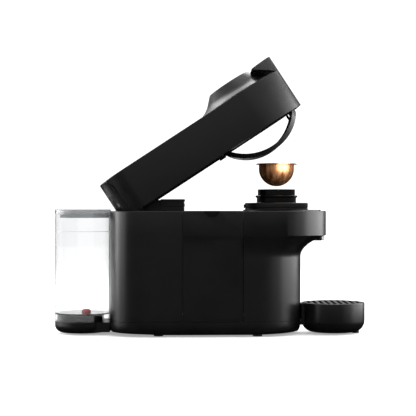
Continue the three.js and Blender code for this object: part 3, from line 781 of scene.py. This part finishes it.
def near_half(inset, z):
    """Path round the near side of the tank."""
    low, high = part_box("tank_shell")
    x, half_x, half_y = middle(low, high)[0], (high.x - low.x) / 2, high.y
    angles = [math.radians(lerp(-178, -2, i / 96)) for i in range(97)]
    return [(x + (half_x - inset) * math.cos(a), (half_y - inset) * math.sin(a)) for a in angles]


def tank_lid():
    """Flat lid with a plug that fits inside the tank."""
    low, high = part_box("tank_lid")
    tank_low, tank_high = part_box("tank_shell")
    x, half_x, half_y = middle(tank_low, tank_high)[0], (tank_high.x - tank_low.x) / 2, tank_high.y
    plate_z = tank_high.z + GAP
    section = [(0, plate_z), *rounded_top(0.9 * MM, high.z, 5)]
    plate = loft("lid_plate", [level(tank_ring(inset), z) for inset, z in section])
    plug_plan = ellipse(x + 2 * MM, half_x - TANK_WALL - 3 * MM, half_y - TANK_WALL - 0.6 * MM)
    plug = prism("plug", plug_plan, low.z, plate_z + MM)
    made(join(plate, plug), "tank_lid", "tank_lid_grey", ["tank_lid"], 0.3 * MM)


def tank_valve():
    """Domed red valve on a stem through the tank's floor."""
    low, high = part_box("tank_valve")
    radius, stem, rim = (high.x - low.x) / 2, 2.2 * MM, 0.9 * MM
    skirt = TANK_FLOOR + GAP
    rise = high.z - skirt - rim
    profile = [(0, low.z), (stem, low.z), (stem, skirt), (radius, skirt), (radius, skirt + rim)]
    profile += [(radius * math.cos(a), skirt + rim + rise * math.sin(a)) for a in quarter(12)[1:-1]]
    profile += [(0, high.z)]
    valve_x = middle(low, high)[0]
    made(turned("valve", valve_x, profile, 48), "tank_valve", "red_seal", ["tank_valve"], 0, 40)


# ------------------------------------------------------------------ cup support


def cup_support():
    """Round drip tray on one sole, with a stem and a tongue that slides into the housing."""
    x, top = middle(*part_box("drip_grid"))[0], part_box("cup_support")[1].z
    radius, wall, bottom, corner = mm(43.5, 2.4, 2, 16)
    profile = [
        (0, bottom),
        *rounded_bottom(radius, bottom, corner, 18),
        *inward(radius, rounded_top(0.8 * MM, top, 5)),
        (radius - wall, top),
        (radius - wall, 36 * MM),
        (radius - 6 * MM, 34 * MM),
        (radius - 6 * MM, 14 * MM),
        (radius - 14 * MM, 6 * MM),
        (0, 6 * MM),
    ]
    bowl = turned("drip_tray", x, profile, 160)
    tongue = block("tongue", mm(112, -16, 12.4), mm(132, 16, 18.3))
    stem = block("stem", mm(125.2, -16, 12.4), mm(134, 16, 41))
    tongue = cut(
        join(tongue, stem),
        post("inside", x, 0, radius - 8 * MM, 0, 36 * MM, 128),
        post("seat", x, 0, radius - wall, 35 * MM, 50 * MM, 128),
    )
    sole = post("sole", x + 31 * MM, 0, *mm(5, 0.3, 6), 48)
    made(join(bowl, tongue, sole), "cup_support", "housing_black", ["cup_support"], 0.3 * MM)


def drip_grid():
    """Round grid with straight slots across it, held together by its rim."""
    low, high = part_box("drip_grid")
    x, radius = middle(low, high)[0], (high.x - low.x) / 2
    rim, pitch, slot = mm(2.6, 8.4, 3.9)
    plate = post("cup_grid", x, 0, radius, low.z, high.z, 160)
    for i in range(-4, 5):
        centre = i * pitch
        corners = []
        for dx, side in ((-slot / 2, -1), (slot / 2, -1), (slot / 2, 1), (-slot / 2, 1)):
            reach = math.sqrt((radius - rim) ** 2 - (centre + dx) ** 2)
            corners.append((x + centre + dx, side * reach))
        plate = cut(plate, prism("slot", corners, low.z - MM, high.z + MM))
    made(plate, "drip_grid", "grey_plastic", ["drip_grid"], 0.5 * MM)


# ------------------------------------------------------------------ used-pod bin


def pod_bin():
    """Drawer behind a panel of the housing's near side, with a scoop for a fingertip."""
    panel = sweep("bin_front", panel_path(-1), shell_section(BASE_Z + GAP, DECK_Z))
    rear, front, near, far = -33 * MM, 41.5 * MM, -HALF + 4 * MM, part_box("pod_bin")[1].y
    floor, top, wall = mm(24, 158, 2.2)
    outside = block("tray", (rear, near - 3.2 * MM, floor), (front, far, top))
    inside = block("room", (rear + wall, near + wall, floor + wall), (front - wall, far - wall, top + MM))
    scoop = rod_y("scoop", 3 * MM, DECK_Z + MM, 10.5 * MM, -2 * BEYOND, -60 * MM, 96)
    drawer = cut(join(panel, cut(outside, inside)), scoop)
    made(drawer, "pod_bin", "housing_black", ["pod_bin"], 0.3 * MM)


# ------------------------------------------------------------------ head


def rear_cutter(shift):
    """Side outline of the space behind the line where the rear cover meets the shell."""
    back, floor, roof = mm(-150, 150, 240)
    start, bend, end = mm(-115, 205), mm(-115.9, 216.75), (-122 * MM, HEAD_TOP)
    line = [(start[0], floor), *bezier(start, bend, end), (-132.1 * MM, roof)]
    moved = [(x + shift, z) for x, z in line]
    return side_prism("rear_cut", [(back, floor), *moved, (back, roof)])


def head_whole():
    """Closed head casing, open below, cut flat behind the lever's strip and pierced under the crown."""
    section = [(0, HEAD_FLOOR), *rounded_top(0.9 * MM, HEAD_TOP, 5)]
    shell = loft("head_side", [level(head_plan(inset), z) for inset, z in section])
    inside = prism("inside", head_plan(WALL), HEAD_FLOOR - MM, HEAD_TOP - WALL)
    flat_x = STRIP_X - GAP
    shell = cut(cut(shell, inside), ahead_of(flat_x))
    front = prism("front", head_plan(WALL / 2), HEAD_FLOOR, HEAD_TOP - MM)
    front = common(front, block("slice", (flat_x - WALL, -FAR, -FAR), (flat_x, FAR, FAR)))
    shell = join(shell, front)
    return cut(shell, post("hole", CROWN_X, 0, *mm(23.6, 200, 240), 96))


def head_shells():
    shell = on_head(cut(head_whole(), rear_cutter(GAP)))
    made(shell, "head", "housing_black", ["head_shell"], 0.3 * MM, 40)
    cover = on_head(common(head_whole(), rear_cutter(-GAP)))
    cover.name = "rear_cap"
    made(cover, "head", "housing_black", ["head_rear_cover"], 0.3 * MM, 40)


def lever_side(gap):
    """Side outline of the lever: a brow over the crown and a strip down the nose."""
    nose_x = HEAD_NOSE_X + HEAD_HALF + MM
    outline = [
        (VISOR_X - gap, BROW_TIP + gap),
        (nose_x, CROWN_TOP + gap),
        (nose_x, HEAD_FLOOR + GAP),
        (STRIP_X, HEAD_FLOOR + GAP),
        (STRIP_X, HEAD_TOP + GAP),
        (BROW_X - gap, HEAD_TOP + GAP),
        (VISOR_X - gap, BROW_TIP - BROW_EDGE - gap),
    ]
    return side_prism("lever_side", outline)


def lever():
    """The nose of the head from floor to brow, hollowed under the brow."""
    wall = 2.5 * MM
    whole = prism("lever_shell", head_plan(0), HEAD_FLOOR + GAP, CROWN_TOP)
    whole = common(whole, lever_side(0))
    nose_x = HEAD_NOSE_X + HEAD_HALF + MM
    under = [
        (VISOR_X, HEAD_TOP - 5 * MM),
        (nose_x, HEAD_TOP - 5 * MM),
        (nose_x, CROWN_TOP - wall),
        (VISOR_X, BROW_TIP - wall),
    ]
    room = prism("room", head_plan(wall), HEAD_TOP - 6 * MM, CROWN_TOP)
    whole = cut(whole, common(room, side_prism("under", under)))
    made(on_head(whole), "lever", "lever_satin", ["lever"], 0.4 * MM)


def crown():
    """Cone on top of the head that runs out in a hollow skirt, with a bore for the button."""
    base, foot_radius = HEAD_TOP + GAP, 64.8 * MM
    rim, bore, edge, stem_bore = mm(30.5, 27.6, 0.8, 4)
    seat, seat_under = mm(238, 235.5)
    skirt = bezier((foot_radius, base + 0.5 * MM), mm(51, 229), mm(42, 236.4))
    profile = [
        (foot_radius, base),
        *skirt,
        (rim + edge, CROWN_TOP - edge),
        (rim, CROWN_TOP),
        (bore + 0.4 * MM, CROWN_TOP),
        (bore, CROWN_TOP - 0.4 * MM),
        (bore, seat),
        (stem_bore, seat),
        (stem_bore, seat_under),
        (38 * MM, seat_under),
        mm(46, 229),
        mm(55.5, 226.4),
        (58 * MM, base),
    ]
    whole = turned("crown_cone", CROWN_X, profile, 160)
    whole = common(whole, prism("clip", head_plan(0), base - MM, CROWN_TOP + MM))
    whole = cut(whole, lever_side(GAP))
    made(on_head(whole), "head", "housing_black", ["head_crown"], 0.25 * MM, 20)


def start_button():
    """Button with a dished top on a stem."""
    stem_low, low, high, stem, radius = mm(228, 240.5, 247.5, 3.6, 24.9)
    top = inward(radius, rounded_top(1.2 * MM, high, 6))
    profile = [(0, stem_low), (stem, stem_low), (stem, low), (radius, low), *top]
    profile += [(radius * 0.8, high - 0.25 * MM), (radius * 0.4, high - 0.7 * MM), (0, high - 0.85 * MM)]
    button = on_head(turned("brew_button", CROWN_X, profile))
    made(button, "start_button", "gloss_black", ["start_button"], 0, 30)


def light_ring():
    inner, outer, low, high, edge = mm(25.2, 27.3, 238.3, 247.8, 0.6)
    profile = [(inner, low), (outer, low), (outer, high - edge), (outer - edge, high)]
    profile += [(inner + edge, high), (inner, high - edge)]
    ring = on_head(turned("light_ring", CROWN_X, profile))
    made(ring, "head", "clear_trim", ["button_light_ring"], 0, 25)


def turned_on_head(name, profile):
    """A profile of (radius, z) points in millimetres, turned about the brewing axis of the head."""
    return on_head(turned(name, BREW_X, [mm(radius, z) for radius, z in profile]))


def brew_bell():
    """Bell over the clamp, stepped out to a skirt over the lock ring."""
    profile = [(46.5, 170.2), (48.7, 170.2), (48.7, 183), (47.7, 184), (36.5, 184), (35.5, 185)]
    profile += [(35.5, 213.2), (34.7, 214), (6.6, 214), (6.6, 211.5), (32, 211.5), (33, 210.5)]
    profile += [(33, 182), (33.5, 181.5), (46, 181.5), (46.5, 181)]
    made(turned_on_head("bell", profile), "head", "inner_dark", ["brew_bell"], 0, 30)


def clamp():
    """Disc that presses on the pod, hung on a hollow shaft, and the gasket under it."""
    profile = [(2, 202.2), (27.6, 202.2), (28, 202.6), (28, 205.2), (27.2, 205.7), (7, 207)]
    profile += [(6, 208), (6, 217.6), (5.6, 218), (2, 218)]
    made(turned_on_head("clamp_plate", profile), "clamp", "inner_dark", ["clamp_disc"], 0, 30)

    profile = [(24.4, 200.5), (24.9, 200), (27.5, 200), (28, 200.5), (28, 201.9), (24.4, 201.9)]
    made(turned_on_head("seal_ring", profile), "clamp", "rubber", ["clamp_gasket"], 0, 30)


def hoop():
    """Saddle-shaped ejector hoop: round in plan and bowed down at its sides."""
    inner, outer, top = mm(53.3, 56.3, 174.2)
    arc_z, arc_inner, arc_outer = mm(206, 63, 69)
    pivot_x, pivot_z, pin_radius = mm(30.5, 170.3, 1.8)
    steps = 192
    rings = []
    for i in range(steps):
        angle = 2 * math.pi * i / steps
        section = []
        for radius, edge in ((outer, arc_outer), (outer, arc_inner), (inner, arc_inner), (inner, arc_outer)):
            x, y = radius * math.cos(angle), radius * math.sin(angle)
            z = min(top, arc_z - math.sqrt(max(0, edge ** 2 - x ** 2)))
            section.append((BREW_X + x, y, z))
        rings.append(section)
    faces = []
    for i in range(steps):
        k = (i + 1) % steps
        for j in range(4):
            n = (j + 1) % 4
            faces.append((i * 4 + j, k * 4 + j, k * 4 + n, i * 4 + n))
    band = mesh_object("ejector_hoop", [p for ring in rings for p in ring], faces)
    knuckle = block("knuckle", (pivot_x - 3 * MM, *mm(-6, 166.5)), mm(41, 6, 173.2))
    band = cut(join(band, knuckle), rod_y("pin", pivot_x, pivot_z, pin_radius, *mm(-20, 20), 32))
    made(on_head(band), "hoop", "housing_black", ["hoop"], 0.45 * MM, 30)


# ------------------------------------------------------------------ studio


def camera():
    """Level with the middle of the machine and square to its near side."""
    data = bpy.data.cameras.new("camera")
    data.sensor_width = 36
    data.lens = 113.05
    data.clip_end = 50
    view = bpy.data.objects.new("camera", data)
    view.location = (-0.0025, -1.8, 0.172)
    view.rotation_euler = (math.pi / 2, 0, 0)
    bpy.context.scene.collection.objects.link(view)
    bpy.context.scene.camera = view


def softbox(name, place, target, width, height, power):
    """Rectangular lamp that faces a target and is not seen itself."""
    data = bpy.data.lights.new(name, "AREA")
    data.shape = "RECTANGLE"
    data.size, data.size_y = width, height
    data.energy = power
    lamp = bpy.data.objects.new(name, data)
    lamp.location = place
    lamp.rotation_euler = (Vector(target) - Vector(place)).to_track_quat("-Z", "Y").to_euler()
    lamp.visible_camera = False
    lamp.visible_transmission = False
    bpy.context.scene.collection.objects.link(lamp)
    return lamp


def reflected(tree):
    """1 on rays that mirror off a surface, and 0 on all others, also those that pass through one."""
    path = tree.nodes.new("ShaderNodeLightPath")
    only = tree.nodes.new("ShaderNodeMath")
    only.operation = "SUBTRACT"
    only.use_clamp = True
    tree.links.new(path.outputs["Is Glossy Ray"], only.inputs[0])
    tree.links.new(path.outputs["Is Transmission Ray"], only.inputs[1])
    return only.outputs["Value"]


def switch(tree, seen, mirrored):
    """One grey for what is seen or lights the room, and another for what is mirrored."""
    mix = tree.nodes.new("ShaderNodeMix")
    mix.data_type = "FLOAT"
    mix.inputs["A"].default_value = seen
    if isinstance(mirrored, float):
        mix.inputs["B"].default_value = mirrored
    else:
        tree.links.new(mirrored, mix.inputs["B"])
    tree.links.new(reflected(tree), mix.inputs["Factor"])
    return mix.outputs["Result"]


def sky(low, high):
    """Mirrored room: dim at the horizon and brighter overhead."""
    world = bpy.data.worlds.new("studio")
    world.use_nodes = True
    tree = world.node_tree
    coordinates = tree.nodes.new("ShaderNodeTexCoord")
    split = tree.nodes.new("ShaderNodeSeparateXYZ")
    tree.links.new(coordinates.outputs["Generated"], split.inputs["Vector"])
    rise = tree.nodes.new("ShaderNodeMapRange")
    rise.inputs["From Min"].default_value = -0.1
    rise.inputs["From Max"].default_value = 0.35
    rise.inputs["To Min"].default_value = low
    rise.inputs["To Max"].default_value = high
    tree.links.new(split.outputs["Z"], rise.inputs["Value"])
    background = tree.nodes["Background"]
    tree.links.new(switch(tree, 1.25, rise.outputs["Result"]), background.inputs["Color"])
    return world


def studio():
    """White room with softboxes at both sides, above and behind, and a key lamp for the pod."""
    scene = bpy.context.scene
    scene.view_settings.view_transform = "Standard"
    scene.world = sky(0.0, 0.55)

    floor = prism("floor", [(-4, -4), (4, -4), (4, 4), (-4, 4)], -0.02, -0.0002)
    material, tree, shader, _ = node_tree("paper")
    tree.links.new(switch(tree, 0.8, 0.0), shader.inputs["Base Color"])
    tree.links.new(switch(tree, 0.35, 0.0), shader.inputs["Emission Color"])
    shader.inputs["Emission Strength"].default_value = 1.0
    shader.inputs["Roughness"].default_value = 0.9
    shader.inputs["Specular IOR Level"].default_value = 0.0
    floor.data.materials.append(material)

    centre = (0, 0, 0.18)
    sides = [
        softbox("right", (1.32, 0.22, 0.3), centre, 1.5, 1.6, 34),
        softbox("right_front", (1.15, -0.7, 0.3), centre, 0.8, 1.2, 2.2),
        softbox("left", (-1.33, 0.4, 0.12), centre, 1.2, 0.9, 26),
        softbox("left_front", (-1.25, -0.45, 0.12), centre, 0.7, 0.9, 4.5),
    ]
    for lamp in sides:
        link(lamp, ["capsule_holder", "bayonet_ring", "capsule", "foil", "water_tank"], "EXCLUDE")
    softbox("top", (0.1, -0.1, 1.5), centre, 1.2, 1.0, 5)
    softbox("behind", (-0.2, 1.3, 1.25), centre, 2.2, 0.7, 15)
    key = softbox("capsule_key", (0.85, -0.92, 0.2), (BREW_X, 0, 0.22), 1.5, 1.6, 75)
    link(key, ["capsule", "foil"], "INCLUDE")


def link(lamp, names, state):
    """Lights only the named pieces, or all but those."""
    group = bpy.data.collections.new(lamp.name)
    for name in names:
        group.objects.link(bpy.data.objects[name])
    lamp.light_linking.receiver_collection = group
    for entry in group.collection_objects:
        entry.light_linking.link_state = state


# ------------------------------------------------------------------ the machine

camera()
skin_cad_nodes()
housing()
hinge_housing()
spout()
brew_deck()
collar()
lock_ring()
pod_holder()
pod()
tank_cradle()
tank()
tank_lid()
tank_valve()
cup_support()
drip_grid()
pod_bin()
head_shells()
lever()
crown()
start_button()
light_ring()
brew_bell()
clamp()
hoop()
studio()
